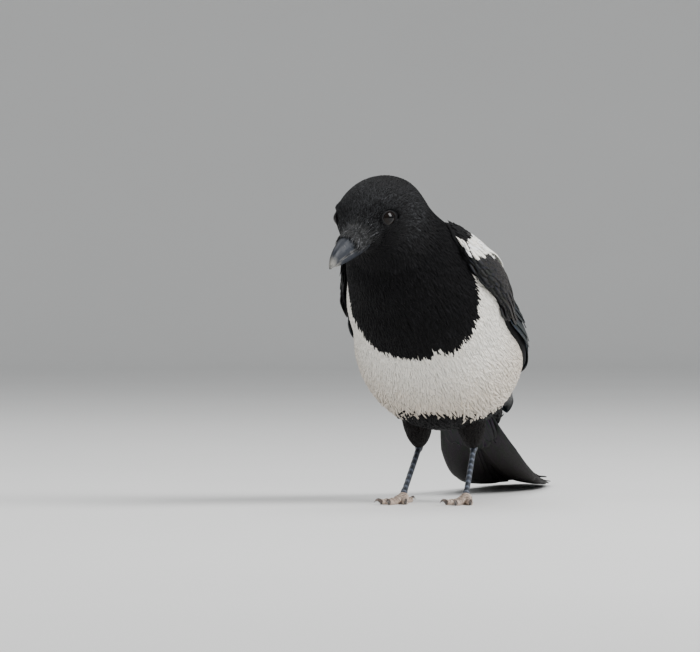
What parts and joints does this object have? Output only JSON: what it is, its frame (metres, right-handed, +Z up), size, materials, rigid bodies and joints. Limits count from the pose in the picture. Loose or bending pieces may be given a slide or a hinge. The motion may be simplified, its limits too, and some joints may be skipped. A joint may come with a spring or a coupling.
{
  "type": "eurasian magpie model",
  "caption": "Life-size standing magpie, head turned and lowered, wings folded, long graduated tail laid down behind it on the floor.",
  "frame": {"origin": "on the floor, at the middle of the model's bounding box seen from above, between the feet and the tail's tip", "axes": "the bird's body faces -Y with its tail to +Y, its left side is +X, and +Z is up"},
  "size_m": [0.0886, 0.4004, 0.1637],
  "materials": {
    "black_plumage": "matt black feathers with a faint grey sheen",
    "white_plumage": "soft creamy white feathers",
    "flight_plumage": "black feathers with a blue-green gloss",
    "tail_plumage": "black feathers with a bronze-green gloss",
    "bill_horn": "slate horn, satin, paler at the worn tip",
    "eye_glaze": "wet dark brown",
    "tarsus_scutes": "blue-grey scaled skin",
    "toe_skin": "dusty pinkish scaled skin",
    "claw_horn": "dark horn, satin"
  },
  "bodies": {
    "root": {"head": "black_plumage", "neck": "black_plumage", "torso": "white_plumage", "wing_left": "flight_plumage", "wing_right": "flight_plumage", "tail": "tail_plumage", "bill_upper": "bill_horn", "bill_lower": "bill_horn", "eye_left": "eye_glaze", "eye_right": "eye_glaze", "thigh_left": "black_plumage", "thigh_right": "black_plumage", "tarsus_left": "tarsus_scutes", "tarsus_right": "tarsus_scutes", "foot_left": "toe_skin", "foot_right": "toe_skin", "claw_inner_left": "claw_horn", "claw_middle_left": "claw_horn", "claw_outer_left": "claw_horn", "claw_hind_left": "claw_horn", "claw_inner_right": "claw_horn", "claw_middle_right": "claw_horn", "claw_outer_right": "claw_horn", "claw_hind_right": "claw_horn"}
  },
  "joints": []
}
